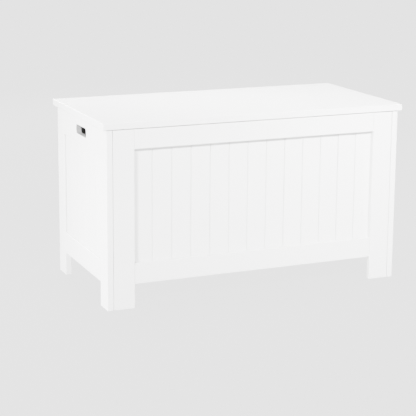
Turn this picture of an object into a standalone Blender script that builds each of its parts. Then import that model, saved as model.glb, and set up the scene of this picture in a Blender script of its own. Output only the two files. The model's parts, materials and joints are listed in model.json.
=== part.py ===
"""Wooden toy box: a boarded chest on four legs with a hinged lid on two folding stays.

Units are metres. +Z is up and the front faces -Y. The origin is on the floor, under the middle of
the lid. Every neighbour keeps a small gap to the next piece, so each piece is a solid of its own.
"""
import math

import bmesh
import bpy
from mathutils import Matrix, Vector

MM = 0.001

# Overall size, over the lid and down to the floor.
WIDTH = 810 * MM
DEPTH = 400 * MM
HEIGHT = 460 * MM

# The gap that two touching pieces keep.
GAP = 0.3 * MM

# Lid.
LID_THICK = 16 * MM
LID_SIDE_OVERHANG = 9.5 * MM
LID_FRONT_OVERHANG = 5 * MM
LID_BACK_OVERHANG = 9 * MM
BUMPER_RADIUS = 4.5 * MM
BUMPER_INSET = 27 * MM

# Side frames.
SIDE_THICK = 15.5 * MM
SIDE_STILE = 52.5 * MM
SIDE_TOP_RAIL = 65 * MM
SIDE_BOTTOM_RAIL = 55 * MM
SIDE_PANEL_THICK = 6 * MM
SIDE_PANEL_RECESS = 5 * MM
SIDE_BOARD = 46.6 * MM
TONGUE = 6 * MM

# Hand holes.
HOLE_LENGTH = 82 * MM
HOLE_HEIGHT = 24 * MM
HOLE_CORNER = 9 * MM
HOLE_BELOW_TOP = 21 * MM

# Front frame, set between the side frames.
FRONT_THICK = 12 * MM
FRONT_STILE = 54 * MM
FRONT_TOP_RAIL = 48.5 * MM
FRONT_BOTTOM_RAIL = 50.5 * MM
FRONT_PANEL_THICK = 6 * MM
FRONT_PANEL_SIDE_LAP = 4 * MM
FRONT_PANEL_RAIL_LAP = 16 * MM
FRONT_BOARD = 50.6 * MM
FRONT_GROOVE_SHIFT = 2.8 * MM

# Grooves between the boards.
GROOVE_WIDTH = 3 * MM
GROOVE_DEPTH = 1.5 * MM

# Legs, back, base and the battens inside.
LEG_CLEARANCE = 61 * MM
BACK_THICK = 15 * MM
BASE_THICK = 9 * MM
BATTEN = 18 * MM
BATTEN_BELOW_TOP = 6 * MM

# Cam locks in the back board.
CAM_RADIUS = 7.2 * MM
CAM_LENGTH = 11 * MM
CAM_INSET = 34 * MM
CAM_LOW = 60 * MM
CAM_BELOW_TOP = 60 * MM

# Butt hinges.
HINGE_SPACING = 470 * MM
HINGE_LENGTH = 60 * MM
HINGE_KNUCKLES = 5
LEAF_THICK = 1.2 * MM
LEAF_WIDTH = 22 * MM
LEAF_CLEARANCE = 0.5 * MM
BARREL_RADIUS = 3.5 * MM
PIN_HEAD_RIM = 1 * MM
PIN_HEAD_LENGTH = 1 * MM
HINGE_SCREW_SPACING = 36 * MM
HINGE_SCREW_FROM_AXIS = 14 * MM

# Countersunk wood screws.
SCREW_HEAD_RADIUS = 3 * MM
SCREW_HEAD_LENGTH = 1.5 * MM
SCREW_RADIUS = 1.5 * MM
SCREW_LENGTH = 12 * MM
SCREW_POINT = 2 * MM

# Folding stays. Both arms are as long as the way from the lid's hinge line to each of their ends.
STAY_THICK = 1.5 * MM
STAY_WIDTH = 12 * MM
STAY_LID_FORWARD = 96.2 * MM
STAY_LID_DROP = 9 * MM
STAY_WALL_SLOPE = math.radians(68.7)
RIVET_RADIUS = 2.5 * MM
RIVET_HEAD_RADIUS = 4.2 * MM
RIVET_HEAD_LENGTH = 1.2 * MM
WALL_BRACKET_LENGTH = 52 * MM
WALL_BRACKET_WIDTH = 16 * MM
BRACKET_SCREW_SPACING = 16 * MM
BRACKET_SCREW_OFFSET = 18 * MM
LID_BRACKET_LENGTH = 34 * MM
LID_BRACKET_FLANGE = 20 * MM
LID_SCREW_SPACING = 20 * MM

# Facets.
ROUND_SIDES = 20
SCREW_SIDES = 12
CORNER_STEPS = 6

# Places that follow from the sizes above.
OUTER_X = WIDTH / 2 - LID_SIDE_OVERHANG
INNER_X = OUTER_X - SIDE_THICK
FRONT_Y = -DEPTH / 2 + LID_FRONT_OVERHANG
BACK_Y = DEPTH / 2 - LID_BACK_OVERHANG
PIN_RADIUS = BARREL_RADIUS - LEAF_THICK - GAP
PIN_HEAD_RADIUS = PIN_RADIUS + PIN_HEAD_RIM
LID_UNDERSIDE = HEIGHT - LID_THICK
LID_RISE = LEAF_THICK + GAP + LEAF_CLEARANCE
TOP_Z = LID_UNDERSIDE - LID_RISE
FRAME_BACK_Y = FRONT_Y + FRONT_THICK
BOARD_FRONT_Y = BACK_Y - BACK_THICK
SIDE_MIDDLE_Y = (FRONT_Y + BACK_Y) / 2
FRONT_OPENING_LOW = LEG_CLEARANCE + FRONT_BOTTOM_RAIL
FRONT_OPENING_HIGH = TOP_Z - FRONT_TOP_RAIL
SIDE_OPENING_LOW = LEG_CLEARANCE + SIDE_BOTTOM_RAIL
SIDE_OPENING_HIGH = TOP_Z - SIDE_TOP_RAIL
FRONT_PANEL_LOW = FRONT_OPENING_LOW - FRONT_PANEL_RAIL_LAP
BASE_TOP = FRONT_PANEL_LOW - GAP
BASE_LOW = BASE_TOP - BASE_THICK
CLEAT_LOW = BASE_LOW - GAP - BATTEN
HINGE_Y = BACK_Y + GAP + BARREL_RADIUS
HINGE_Z = LID_UNDERSIDE - GAP - BARREL_RADIUS
STAY_LENGTH = math.hypot(STAY_LID_FORWARD, STAY_LID_DROP)
STAY_LID_Y = HINGE_Y - STAY_LID_FORWARD
STAY_LID_Z = HINGE_Z - STAY_LID_DROP
STAY_WALL_Y = HINGE_Y - STAY_LENGTH * math.cos(STAY_WALL_SLOPE)
STAY_WALL_Z = HINGE_Z - STAY_LENGTH * math.sin(STAY_WALL_SLOPE)
KNEE_Y = STAY_WALL_Y + STAY_LID_Y - HINGE_Y
KNEE_Z = STAY_WALL_Z + STAY_LID_Z - HINGE_Z
STAY_STEP = STAY_THICK + GAP

WHITE_PAINT = ("white_paint", (0.86, 0.86, 0.85), 0.42, 0.0)
INNER_PAINT = ("inner_paint", (0.84, 0.84, 0.83), 0.55, 0.0)
ZINC = ("zinc_steel", (0.62, 0.62, 0.60), 0.35, 1.0)
RUBBER = ("bumper_rubber", (0.30, 0.30, 0.30), 0.75, 0.0)


def clear_scene():
    """Remove every object that the file opened with."""
    for item in list(bpy.data.objects):
        bpy.data.objects.remove(item, do_unlink=True)


def make_material(name, finish):
    """Return a Principled material of one finish, named after its piece."""
    slot, colour, roughness, metallic = finish
    material = bpy.data.materials.new(f"{name}_{slot}")
    material.use_nodes = True
    shader = material.node_tree.nodes["Principled BSDF"]
    shader.inputs["Base Color"].default_value = (*colour, 1.0)
    shader.inputs["Roughness"].default_value = roughness
    shader.inputs["Metallic"].default_value = metallic
    return material


def add_object(name, mesh, finish, pivot=Vector((0.0, 0.0, 0.0)), smooth=False):
    """Put a mesh that is drawn in world places on an object whose origin is its pivot."""
    mesh.transform(Matrix.Translation(-Vector(pivot)))
    if smooth:
        mesh.shade_smooth()
        mesh.set_sharp_from_angle(angle=math.radians(35))
    mesh.materials.append(make_material(name, finish))
    item = bpy.data.objects.new(name, mesh)
    item.location = pivot
    bpy.context.scene.collection.objects.link(item)
    return item


def close_mesh(name, shape):
    """Turn a bmesh into a mesh with its faces pointing out."""
    bmesh.ops.recalc_face_normals(shape, faces=shape.faces)
    mesh = bpy.data.meshes.new(name)
    shape.to_mesh(mesh)
    shape.free()
    return mesh


def box_mesh(low, high):
    """A box between two corners."""
    size = Vector(high) - Vector(low)
    middle = (Vector(high) + Vector(low)) / 2
    shape = bmesh.new()
    place = Matrix.Translation(middle) @ Matrix.Diagonal((*size, 1.0))
    bmesh.ops.create_cube(shape, size=1.0, matrix=place)
    return close_mesh("box", shape)


def prism_mesh(outline, axis, start, end):
    """An outline of (a, b) points drawn out along an axis: x takes (y, z), y (x, z), z (x, y)."""
    def place(point, along):
        return Vector(point[:axis] + (along,) + point[axis:])

    shape = bmesh.new()
    first = [shape.verts.new(place(point, start)) for point in outline]
    last = [shape.verts.new(place(point, end)) for point in outline]
    shape.faces.new(first)
    shape.faces.new(last)
    count = len(outline)
    for i in range(count):
        j = (i + 1) % count
        shape.faces.new((first[i], first[j], last[j], last[i]))
    return close_mesh("prism", shape)


def turned_mesh(profile, origin, direction, sides):
    """A round piece: (radius, distance) points, from axis to axis, turned about a direction."""
    turn = Vector((0.0, 0.0, 1.0)).rotation_difference(Vector(direction)).to_matrix().to_4x4()
    place = Matrix.Translation(Vector(origin)) @ turn
    shape = bmesh.new()
    rings = []
    for radius, distance in profile:
        if radius == 0:
            rings.append([shape.verts.new(place @ Vector((0.0, 0.0, distance)))])
            continue
        ring = []
        for i in range(sides):
            angle = 2 * math.pi * (i + 0.5) / sides
            point = Vector((radius * math.cos(angle), radius * math.sin(angle), distance))
            ring.append(shape.verts.new(place @ point))
        rings.append(ring)
    for lower, upper in zip(rings, rings[1:]):
        for i in range(sides):
            j = (i + 1) % sides
            corners = [lower[i % len(lower)], lower[j % len(lower)]]
            corners += [upper[j % len(upper)], upper[i % len(upper)]]
            shape.faces.new(list(dict.fromkeys(corners)))
    return close_mesh("turned", shape)


def combine(item, tool_mesh, operation):
    """Cut or unite an object with a hidden tool of the given mesh."""
    tool = bpy.data.objects.new(f"{item.name}_tool", tool_mesh)
    tool.hide_render = True
    tool.display_type = "WIRE"
    bpy.context.scene.collection.objects.link(tool)
    step = item.modifiers.new(operation.lower(), "BOOLEAN")
    step.operation = operation
    step.solver = "EXACT"
    step.object = tool


def cut(item, tool_mesh):
    """Take a tool's shape out of an object."""
    combine(item, tool_mesh, "DIFFERENCE")


def unite(item, tool_mesh):
    """Add a tool's shape to an object."""
    combine(item, tool_mesh, "UNION")


def rounded_outline(middle, half_a, half_b, radius):
    """A rectangle with round corners, as (a, b) points."""
    points = []
    corners = ((1, 1, 0), (-1, 1, 90), (-1, -1, 180), (1, -1, 270))
    for sign_a, sign_b, first in corners:
        for step in range(CORNER_STEPS + 1):
            angle = math.radians(first + 90 * step / CORNER_STEPS)
            a = middle[0] + sign_a * (half_a - radius) + radius * math.cos(angle)
            b = middle[1] + sign_b * (half_b - radius) + radius * math.sin(angle)
            points.append((a, b))
    return points


def bar_outline(start, end, half_width):
    """A flat bar with round ends between two points."""
    heading = math.atan2(end[1] - start[1], end[0] - start[0])
    points = []
    for middle, first in ((end, heading - math.pi / 2), (start, heading + math.pi / 2)):
        for step in range(2 * CORNER_STEPS + 1):
            angle = first + math.pi * step / (2 * CORNER_STEPS)
            a = middle[0] + half_width * math.cos(angle)
            b = middle[1] + half_width * math.sin(angle)
            points.append((a, b))
    return points


def groove_middles(groove, board, low, high):
    """The places of the grooves that show between low and high, a board apart from a given one."""
    first = math.ceil((low + GROOVE_WIDTH - groove) / board)
    last = math.floor((high - GROOVE_WIDTH - groove) / board)
    return [groove + board * i for i in range(first, last + 1)]


def boarded_outline(low, high, face, back, grooves):
    """A board seen end on: a V for each groove in its face, and a plain back."""
    inward = math.copysign(GROOVE_DEPTH, back - face)
    points = [(low, back), (low, face)]
    for groove in grooves:
        points.append((groove - GROOVE_WIDTH / 2, face))
        points.append((groove, face + inward))
        points.append((groove + GROOVE_WIDTH / 2, face))
    points += [(high, face), (high, back)]
    return points


def screw_profile(grow=0.0):
    """A countersunk screw from its head's face to its point, grown by a clearance."""
    return [
        (0.0, -grow),
        (SCREW_HEAD_RADIUS + 2 * grow, -grow),
        (SCREW_RADIUS + grow, SCREW_HEAD_LENGTH),
        (SCREW_RADIUS + grow, SCREW_LENGTH - SCREW_POINT + grow),
        (0.0, SCREW_LENGTH + grow),
    ]


def add_screw(name, head, direction, held):
    """Drive one screw, and open its hole in each object that it holds."""
    for item in held:
        cut(item, turned_mesh(screw_profile(GAP), head, direction, SCREW_SIDES))
    mesh = turned_mesh(screw_profile(), head, direction, SCREW_SIDES)
    add_object(name, mesh, ZINC, head, smooth=True)


def rivet_mesh(start, direction, reach):
    """A rivet that starts inside one plate, crosses the next and ends in a head."""
    profile = [
        (0.0, 0.0),
        (RIVET_RADIUS, 0.0),
        (RIVET_RADIUS, reach),
        (RIVET_HEAD_RADIUS, reach),
        (RIVET_HEAD_RADIUS * 0.8, reach + RIVET_HEAD_LENGTH),
        (0.0, reach + RIVET_HEAD_LENGTH),
    ]
    return turned_mesh(profile, start, direction, ROUND_SIDES)


def rivet_hole(x_low, x_high, y, z):
    """The clear hole for a rivet, through a plate from x_low to x_high."""
    radius = RIVET_RADIUS + GAP
    profile = [(0.0, 0.0), (radius, 0.0), (radius, x_high - x_low), (0.0, x_high - x_low)]
    return turned_mesh(profile, (x_low, y, z), (1.0, 0.0, 0.0), ROUND_SIDES)


def span(side, near, far):
    """The low and high X of what lies between two distances from the middle, on one side."""
    return min(side * near, side * far), max(side * near, side * far)


def add_board(name, x, y, z, finish=WHITE_PAINT):
    """A plain board, given by its low and high X, Y and Z."""
    mesh = box_mesh((x[0], y[0], z[0]), (x[1], y[1], z[1]))
    return add_object(name, mesh, finish)


def build_side(word, side):
    """One side frame with its boarded panel. side is -1 on the left and 1 on the right."""
    x = span(side, INNER_X, OUTER_X)
    front_edge = FRONT_Y + SIDE_STILE
    rear_edge = BACK_Y - SIDE_STILE
    rail_y = (front_edge + GAP, rear_edge - GAP)
    face = side * (OUTER_X - SIDE_PANEL_RECESS)
    back = face - side * SIDE_PANEL_THICK
    front_stile = add_board(f"{word}_front_stile", x, (FRONT_Y, front_edge), (0.0, TOP_Z))
    rear_stile = add_board(f"{word}_rear_stile", x, (rear_edge, BACK_Y), (0.0, TOP_Z))
    top_rail = add_board(f"{word}_top_rail", x, rail_y, (SIDE_OPENING_HIGH, TOP_Z))
    bottom_rail = add_board(f"{word}_bottom_rail", x, rail_y, (LEG_CLEARANCE, SIDE_OPENING_LOW))

    slot_x = (min(face, back) - GAP, max(face, back) + GAP)
    reach = TONGUE + GAP
    slot_low = (slot_x[0], front_edge - reach, SIDE_OPENING_LOW - reach)
    slot_high = (slot_x[1], rear_edge + reach, SIDE_OPENING_HIGH + reach)
    for item in (front_stile, rear_stile, top_rail, bottom_rail):
        cut(item, box_mesh(slot_low, slot_high))

    grooves = groove_middles(SIDE_MIDDLE_Y, SIDE_BOARD, front_edge, rear_edge)
    outline = boarded_outline(front_edge - TONGUE, rear_edge + TONGUE, face, back, grooves)
    outline = [(x_place, y_place) for y_place, x_place in outline]
    panel_z = (SIDE_OPENING_LOW - TONGUE, SIDE_OPENING_HIGH + TONGUE)
    add_object(f"{word}_side_panel", prism_mesh(outline, 2, *panel_z), WHITE_PAINT)

    middle = (SIDE_MIDDLE_Y, TOP_Z - HOLE_BELOW_TOP - HOLE_HEIGHT / 2)
    hole = rounded_outline(middle, HOLE_LENGTH / 2, HOLE_HEIGHT / 2, HOLE_CORNER)
    cut(top_rail, prism_mesh(hole, 0, x[0] - SIDE_THICK, x[1] + SIDE_THICK))
    return rear_stile


def build_front():
    """The front frame between the side frames, and the boarded panel behind it."""
    outer = INNER_X - GAP
    inner = outer - FRONT_STILE
    y = (FRONT_Y, FRAME_BACK_Y)
    add_board("front_left_stile", (-outer, -inner), y, (0.0, TOP_Z))
    add_board("front_right_stile", (inner, outer), y, (0.0, TOP_Z))
    rail_x = (-inner + GAP, inner - GAP)
    add_board("front_top_rail", rail_x, y, (FRONT_OPENING_HIGH, TOP_Z))
    add_board("front_bottom_rail", rail_x, y, (LEG_CLEARANCE, FRONT_OPENING_LOW))
    half = inner + FRONT_PANEL_SIDE_LAP
    face = FRAME_BACK_Y + GAP
    grooves = groove_middles(FRONT_GROOVE_SHIFT + FRONT_BOARD / 2, FRONT_BOARD, -inner, inner)
    outline = boarded_outline(-half, half, face, face + FRONT_PANEL_THICK, grooves)
    panel_high = FRONT_OPENING_HIGH + FRONT_PANEL_RAIL_LAP
    mesh = prism_mesh(outline, 2, FRONT_PANEL_LOW, panel_high)
    add_object("front_panel", mesh, WHITE_PAINT)


def build_inside():
    """The base on its cleats, the two corner battens and the back board with its cam locks."""
    outer = INNER_X - GAP
    front = FRAME_BACK_Y + GAP
    rear = BOARD_FRONT_Y - GAP
    cleat_z = (CLEAT_LOW, BASE_LOW - GAP)
    side_y = (front + BATTEN + GAP, rear - BATTEN - GAP)
    add_board("base_panel", (-outer, outer), (front, rear), (BASE_LOW, BASE_TOP), INNER_PAINT)
    add_board("front_cleat", (-outer, outer), (front, front + BATTEN), cleat_z, INNER_PAINT)
    add_board("back_cleat", (-outer, outer), (rear - BATTEN, rear), cleat_z, INNER_PAINT)
    for word, side in (("left", -1), ("right", 1)):
        x = span(side, outer - BATTEN, outer)
        add_board(f"{word}_cleat", x, side_y, cleat_z, INNER_PAINT)
        batten_z = (BASE_TOP + GAP, TOP_Z - BATTEN_BELOW_TOP)
        add_board(f"{word}_corner_batten", x, (front, front + BATTEN), batten_z, INNER_PAINT)

    back_z = (LEG_CLEARANCE, TOP_Z)
    board = add_board("back_board", (-outer, outer), (BOARD_FRONT_Y, BACK_Y), back_z)
    cam_heights = (("lower", LEG_CLEARANCE + CAM_LOW), ("upper", TOP_Z - CAM_BELOW_TOP))
    for word, side in (("left", -1), ("right", 1)):
        for level, z in cam_heights:
            middle = (side * (INNER_X - CAM_INSET), BOARD_FRONT_Y, z)
            into = (0.0, 1.0, 0.0)
            radius = CAM_RADIUS + GAP
            bore = [(0.0, -CAM_LENGTH), (radius, -CAM_LENGTH)]
            bore += [(radius, CAM_LENGTH + GAP), (0.0, CAM_LENGTH + GAP)]
            cut(board, turned_mesh(bore, middle, into, ROUND_SIDES))
            cam = [(0.0, 0.0), (CAM_RADIUS, 0.0), (CAM_RADIUS, CAM_LENGTH), (0.0, CAM_LENGTH)]
            mesh = turned_mesh(cam, middle, into, ROUND_SIDES)
            add_object(f"{word}_{level}_cam_lock", mesh, ZINC, middle, smooth=True)
    return board


def build_bumpers():
    """Two thin round bumpers on the front corners, under the lid."""
    height = LID_RISE - 2 * GAP
    for word, side in (("left", -1), ("right", 1)):
        base = (side * (INNER_X - BUMPER_INSET), FRONT_Y + FRONT_THICK / 2, TOP_Z + GAP)
        profile = [(0.0, 0.0), (BUMPER_RADIUS, 0.0), (BUMPER_RADIUS * 0.85, height), (0.0, height)]
        mesh = turned_mesh(profile, base, (0.0, 0.0, 1.0), ROUND_SIDES)
        add_object(f"{word}_bumper", mesh, RUBBER, base, smooth=True)


def leaf_outline():
    """A hinge leaf seen end on: a flat plate that runs down from the side of a round barrel."""
    near = -BARREL_RADIUS
    far = near + LEAF_THICK
    first = math.atan2(-math.sqrt(BARREL_RADIUS ** 2 - far ** 2), far)
    points = [(near, -LEAF_WIDTH), (far, -LEAF_WIDTH)]
    sweep = math.pi - first
    for step in range(ROUND_SIDES + 1):
        angle = first + sweep * step / ROUND_SIDES
        points.append((BARREL_RADIUS * math.cos(angle), BARREL_RADIUS * math.sin(angle)))
    return points


def add_leaf(name, middle, turned, kept):
    """One leaf with its own knuckles. A turned leaf lies flat under the lid and runs forward."""
    outline = leaf_outline()
    if turned:
        outline = [(v, -u) for u, v in outline]
    outline = [(HINGE_Y + y, HINGE_Z + z) for y, z in outline]
    low = middle - HINGE_LENGTH / 2
    mesh = prism_mesh(outline, 0, low, low + HINGE_LENGTH)
    leaf = add_object(name, mesh, ZINC, (middle, HINGE_Y, HINGE_Z), smooth=True)
    knuckle = HINGE_LENGTH / HINGE_KNUCKLES
    room = BARREL_RADIUS + GAP
    for i in range(HINGE_KNUCKLES):
        if i in kept:
            continue
        x = (low + i * knuckle - GAP / 2, low + (i + 1) * knuckle + GAP / 2)
        corner = (HINGE_Y - room, HINGE_Z - room)
        cut(leaf, box_mesh((x[0], *corner), (x[1], corner[0] + 2 * room, corner[1] + 2 * room)))
    radius = PIN_RADIUS + GAP
    length = 2 * HINGE_LENGTH
    bore = [(0.0, 0.0), (radius, 0.0), (radius, length), (0.0, length)]
    start = (middle - HINGE_LENGTH, HINGE_Y, HINGE_Z)
    cut(leaf, turned_mesh(bore, start, (1.0, 0.0, 0.0), ROUND_SIDES))
    return leaf


def build_hinge(word, side, lid, board):
    """One butt hinge: the lower leaf on the back board, the upper leaf under the lid, the pin."""
    middle = side * HINGE_SPACING / 2
    lower = add_leaf(f"{word}_hinge_lower_leaf", middle, False, (0, 2, 4))
    upper = add_leaf(f"{word}_hinge_upper_leaf", middle, True, (1, 3))
    start = (middle - HINGE_LENGTH / 2, HINGE_Y, HINGE_Z)
    end = HINGE_LENGTH + GAP
    profile = [
        (0.0, -GAP - PIN_HEAD_LENGTH),
        (PIN_HEAD_RADIUS, -GAP - PIN_HEAD_LENGTH),
        (PIN_HEAD_RADIUS, -GAP),
        (PIN_RADIUS, -GAP),
        (PIN_RADIUS, end),
        (PIN_HEAD_RADIUS, end),
        (PIN_HEAD_RADIUS, end + PIN_HEAD_LENGTH),
        (0.0, end + PIN_HEAD_LENGTH),
    ]
    mesh = turned_mesh(profile, start, (1.0, 0.0, 0.0), ROUND_SIDES)
    add_object(f"{word}_hinge_pin", mesh, ZINC, (middle, HINGE_Y, HINGE_Z), smooth=True)
    for number, place in ((1, -1), (2, 1)):
        x = middle + place * HINGE_SCREW_SPACING / 2
        head = (x, BACK_Y + GAP + LEAF_THICK, HINGE_Z - HINGE_SCREW_FROM_AXIS)
        add_screw(f"{word}_hinge_lower_screw_{number}", head, (0.0, -1.0, 0.0), (lower, board))
        head = (x, HINGE_Y - HINGE_SCREW_FROM_AXIS, LID_UNDERSIDE - GAP - LEAF_THICK)
        add_screw(f"{word}_hinge_upper_screw_{number}", head, (0.0, 0.0, 1.0), (upper, lid))


def build_stay(word, side, lid, stile):
    """One folding stay: wall bracket, lower arm, upper arm and lid bracket, in four layers."""
    wall = (STAY_WALL_Y, STAY_WALL_Z)
    knee = (KNEE_Y, KNEE_Z)
    lid_pivot = (STAY_LID_Y, STAY_LID_Z)
    layers = []
    for i in range(4):
        far = INNER_X - GAP - i * STAY_STEP
        layers.append(span(side, far - STAY_THICK, far))
    inward = (-side, 0.0, 0.0)
    outward = (side, 0.0, 0.0)
    half = STAY_THICK / 2
    reach = half + GAP + STAY_THICK + GAP

    low = STAY_WALL_Z + WALL_BRACKET_WIDTH / 2 - WALL_BRACKET_LENGTH
    middle = (STAY_WALL_Y, low + WALL_BRACKET_LENGTH / 2)
    outline = rounded_outline(middle, WALL_BRACKET_WIDTH / 2, WALL_BRACKET_LENGTH / 2, 5 * MM)
    mesh = prism_mesh(outline, 0, *layers[0])
    wall_bracket = add_object(f"{word}_stay_wall_bracket", mesh, ZINC)
    start = (sum(layers[0]) / 2, *wall)
    unite(wall_bracket, rivet_mesh(start, inward, reach))

    mesh = prism_mesh(bar_outline(wall, knee, STAY_WIDTH / 2), 0, *layers[1])
    pivot = (sum(layers[1]) / 2, *wall)
    lower_arm = add_object(f"{word}_stay_lower_arm", mesh, ZINC, pivot)
    cut(lower_arm, rivet_hole(layers[1][0] - half, layers[1][1] + half, *wall))
    unite(lower_arm, rivet_mesh((pivot[0], *knee), inward, reach))

    mesh = prism_mesh(bar_outline(knee, lid_pivot, STAY_WIDTH / 2), 0, *layers[2])
    pivot = (sum(layers[2]) / 2, *lid_pivot)
    upper_arm = add_object(f"{word}_stay_upper_arm", mesh, ZINC, pivot)
    for place in (knee, lid_pivot):
        cut(upper_arm, rivet_hole(layers[2][0] - half, layers[2][1] + half, *place))

    tab_near = min(abs(value) for value in layers[3])
    tab_far = tab_near + STAY_THICK
    top = LID_UNDERSIDE - GAP
    low = STAY_LID_Z - STAY_WIDTH / 2
    flange_end = tab_far - LID_BRACKET_FLANGE
    outline = [
        (side * tab_far, low),
        (side * tab_far, top),
        (side * flange_end, top),
        (side * flange_end, top - STAY_THICK),
        (side * tab_near, top - STAY_THICK),
        (side * tab_near, low),
    ]
    y = (STAY_LID_Y - LID_BRACKET_LENGTH / 2, STAY_LID_Y + LID_BRACKET_LENGTH / 2)
    lid_bracket = add_object(f"{word}_stay_lid_bracket", prism_mesh(outline, 1, *y), ZINC)
    start = (sum(layers[3]) / 2, *lid_pivot)
    unite(lid_bracket, rivet_mesh(start, outward, reach))

    for number in (1, 2):
        z = STAY_WALL_Z - BRACKET_SCREW_OFFSET - (number - 1) * BRACKET_SCREW_SPACING
        head = (side * (INNER_X - GAP - STAY_THICK), STAY_WALL_Y, z)
        add_screw(f"{word}_stay_wall_screw_{number}", head, outward, (wall_bracket, stile))
        x = side * (tab_near + flange_end) / 2
        head = (x, STAY_LID_Y + (2 * number - 3) * LID_SCREW_SPACING / 2, top - STAY_THICK)
        add_screw(f"{word}_stay_lid_screw_{number}", head, (0.0, 0.0, 1.0), (lid_bracket, lid))


def main():
    """Build the whole toy box."""
    clear_scene()
    left_stile = build_side("left", -1)
    right_stile = build_side("right", 1)
    build_front()
    board = build_inside()
    build_bumpers()
    low = (-WIDTH / 2, -DEPTH / 2, LID_UNDERSIDE)
    high = (WIDTH / 2, DEPTH / 2, HEIGHT)
    lid = add_object("lid", box_mesh(low, high), WHITE_PAINT, (0.0, HINGE_Y, HINGE_Z))
    for word, side, stile in (("left", -1, left_stile), ("right", 1, right_stile)):
        build_hinge(word, side, lid, board)
        build_stay(word, side, lid, stile)


main()
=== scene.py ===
"""A white boarded toy box with a hinged lid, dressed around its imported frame.

Every piece takes its place from the frame. Boards get eased edges, the boarded panels get their
grooves, and the hinges, stays, screws and cam locks are made as the real ones are: cut from sheet,
rolled, folded and riveted.
"""
from __future__ import annotations

import json
import logging
import math
from dataclasses import dataclass, field, replace
from enum import Enum

import bmesh
import bpy
from mathutils import Matrix, Vector

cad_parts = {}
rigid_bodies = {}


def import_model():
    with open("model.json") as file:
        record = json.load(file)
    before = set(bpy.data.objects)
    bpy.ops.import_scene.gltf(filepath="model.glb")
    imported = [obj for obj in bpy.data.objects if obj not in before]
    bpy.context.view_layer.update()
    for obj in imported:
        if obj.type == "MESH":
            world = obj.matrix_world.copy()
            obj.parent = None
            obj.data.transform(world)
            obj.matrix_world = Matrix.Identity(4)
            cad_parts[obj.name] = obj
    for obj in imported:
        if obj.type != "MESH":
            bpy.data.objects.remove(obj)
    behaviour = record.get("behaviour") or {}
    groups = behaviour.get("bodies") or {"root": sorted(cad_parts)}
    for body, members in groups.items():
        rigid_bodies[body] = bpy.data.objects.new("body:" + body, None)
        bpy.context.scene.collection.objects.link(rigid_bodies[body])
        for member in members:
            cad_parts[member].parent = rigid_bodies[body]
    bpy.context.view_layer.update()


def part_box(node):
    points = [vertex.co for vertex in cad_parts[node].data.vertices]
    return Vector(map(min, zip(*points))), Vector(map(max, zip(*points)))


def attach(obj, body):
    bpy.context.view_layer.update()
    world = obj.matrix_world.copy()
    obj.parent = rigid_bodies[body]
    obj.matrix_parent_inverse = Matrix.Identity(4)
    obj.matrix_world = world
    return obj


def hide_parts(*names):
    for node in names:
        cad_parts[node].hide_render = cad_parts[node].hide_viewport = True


LOG = logging.getLogger("toy_box")
MM = 0.001
# The play between two pieces that nearly touch.
GAP = 0.3 * MM
# Places nearer than this count as one.
TOUCH = 1e-6
QUARTER = math.pi / 2
# How many sides a turned piece gets.
SCREW_SIDES = 24
ROUND_SIDES = 32
CAM_SIDES = 40
# How many facets round a board's long edges, a board's ends and a plate's rims.
LONG_STEPS = 4
END_STEPS = 3
RIM_STEPS = 2
# Edges sharper than these angles, in degrees, stay sharp in the shading.
SHARP_CREASE = 30.0
SHEET_CREASE = 35.0
BOARD_CREASE = 40.0
GROOVE_CREASE = 50.0
RIGHT = Vector((1, 0, 0))
BACK = Vector((0, 1, 0))
UP = Vector((0, 0, 1))

Point = tuple[float, float]
Triple = tuple[float, float, float]
Outline = list[Point]
Mesh = bpy.types.Mesh
Cutters = list[Mesh]
Socket = bpy.types.NodeSocket


class Side(Enum):
    """A side of the box, as seen from the front."""

    LEFT = -1
    RIGHT = 1

    @property
    def word(self) -> str:
        """The side's name in the names of its pieces."""
        return self.name.lower()


class Axis(Enum):
    """The direction in which an outline is drawn out."""

    X = 0
    Y = 1
    Z = 2


class Body(Enum):
    """The bodies that move apart."""

    CARCASS = "carcass"
    LID = "lid"
    LEFT_LOWER_ARM = "left_lower_arm"
    LEFT_UPPER_ARM = "left_upper_arm"
    RIGHT_LOWER_ARM = "right_lower_arm"
    RIGHT_UPPER_ARM = "right_upper_arm"


# -------------------- finishes


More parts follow.
